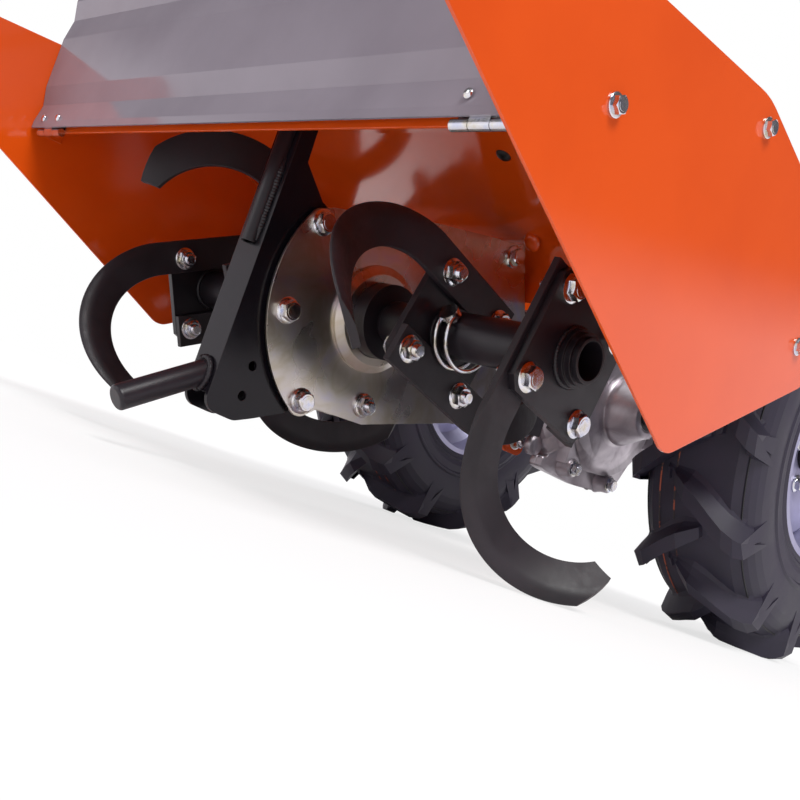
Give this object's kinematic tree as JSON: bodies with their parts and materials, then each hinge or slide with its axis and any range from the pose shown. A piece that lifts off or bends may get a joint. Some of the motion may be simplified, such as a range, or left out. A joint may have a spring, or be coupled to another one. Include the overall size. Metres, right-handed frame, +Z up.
{
  "type": "rear tine unit of a walk-behind rotavator, with wheel gearbox and wheels",
  "caption": "Rear tine rotor under a sheet hood with a hinged flap, driven from a wheel gearbox on two lugged tyres; the engine bolts to its front flange.",
  "frame": {"origin": "on the floor, under the middle of the whole unit", "axes": "+X the machine's right, +Y ahead (from the rotor to the wheels), +Z up"},
  "size_m": [0.65, 0.931, 0.451],
  "materials": {
    "orange_paint": "gloss",
    "flap_paint": "satin",
    "black_paint": "satin",
    "zinc_plate": "satin",
    "cast_aluminium": "cast",
    "shaft_steel": "ground",
    "rim_paint": "satin",
    "tyre_rubber": "matte",
    "seal_rubber": "matte"
  },
  "bodies": {
    "chassis": {"gearbox_half_right": "cast_aluminium", "gearbox_half_left": "cast_aluminium", "engine_flange": "cast_aluminium", "input_shaft": "shaft_steel", "axle_seal_right": "seal_rubber", "axle_seal_left": "seal_rubber", "drive_case": "black_paint", "case_shield_right": "zinc_plate", "case_shield_left": "zinc_plate", "shield_spacers": "zinc_plate", "stake_bracket": "black_paint", "stake_tube": "black_paint", "foot_rod": "black_paint", "hood_sheet": "orange_paint", "hood_flange_right": "orange_paint", "hood_flange_left": "orange_paint", "side_plate_right": "orange_paint", "side_plate_left": "orange_paint", "frame_plate_right": "orange_paint", "frame_plate_left": "orange_paint", "hinge_leaves": "zinc_plate"},
    "wheel_right": {"tyre_right": "tyre_rubber", "wheel_rim_right": "rim_paint", "wheel_hub_right": "black_paint", "axle_shaft_right": "shaft_steel"},
    "wheel_left": {"tyre_left": "tyre_rubber", "wheel_rim_left": "rim_paint", "wheel_hub_left": "black_paint", "axle_shaft_left": "shaft_steel"},
    "rotor": {"rotor_shaft": "black_paint", "tine_hub_right": "black_paint", "tine_hub_left": "black_paint", "lock_pin_right": "zinc_plate", "lock_pin_left": "zinc_plate", "tine_right_inner_a": "black_paint", "tine_right_inner_b": "black_paint", "tine_right_outer_a": "black_paint", "tine_right_outer_b": "black_paint", "tine_left_inner_a": "black_paint", "tine_left_inner_b": "black_paint", "tine_left_outer_a": "black_paint", "tine_left_outer_b": "black_paint"},
    "flap": {"flap_panel": "flap_paint", "flap_leaves": "zinc_plate"}
  },
  "joints": [
    {"name": "wheel_right_spin", "type": "hinge", "parent": "chassis", "child": "wheel_right", "pos_m": [0.2325, 0.2595, 0.206], "axis": [1, 0, 0], "continuous": true},
    {"name": "wheel_left_spin", "type": "hinge", "parent": "chassis", "child": "wheel_left", "pos_m": [-0.2325, 0.2595, 0.206], "axis": [1, 0, 0], "continuous": true},
    {"name": "rotor_spin", "type": "hinge", "parent": "chassis", "child": "rotor", "pos_m": [0, -0.1355, 0.168], "axis": [1, 0, 0], "continuous": true},
    {"name": "flap_swing", "type": "hinge", "parent": "chassis", "child": "flap", "pos_m": [0, -0.3237, 0.245], "axis": [1, 0, 0], "range_deg": [0, 170]}
  ]
}
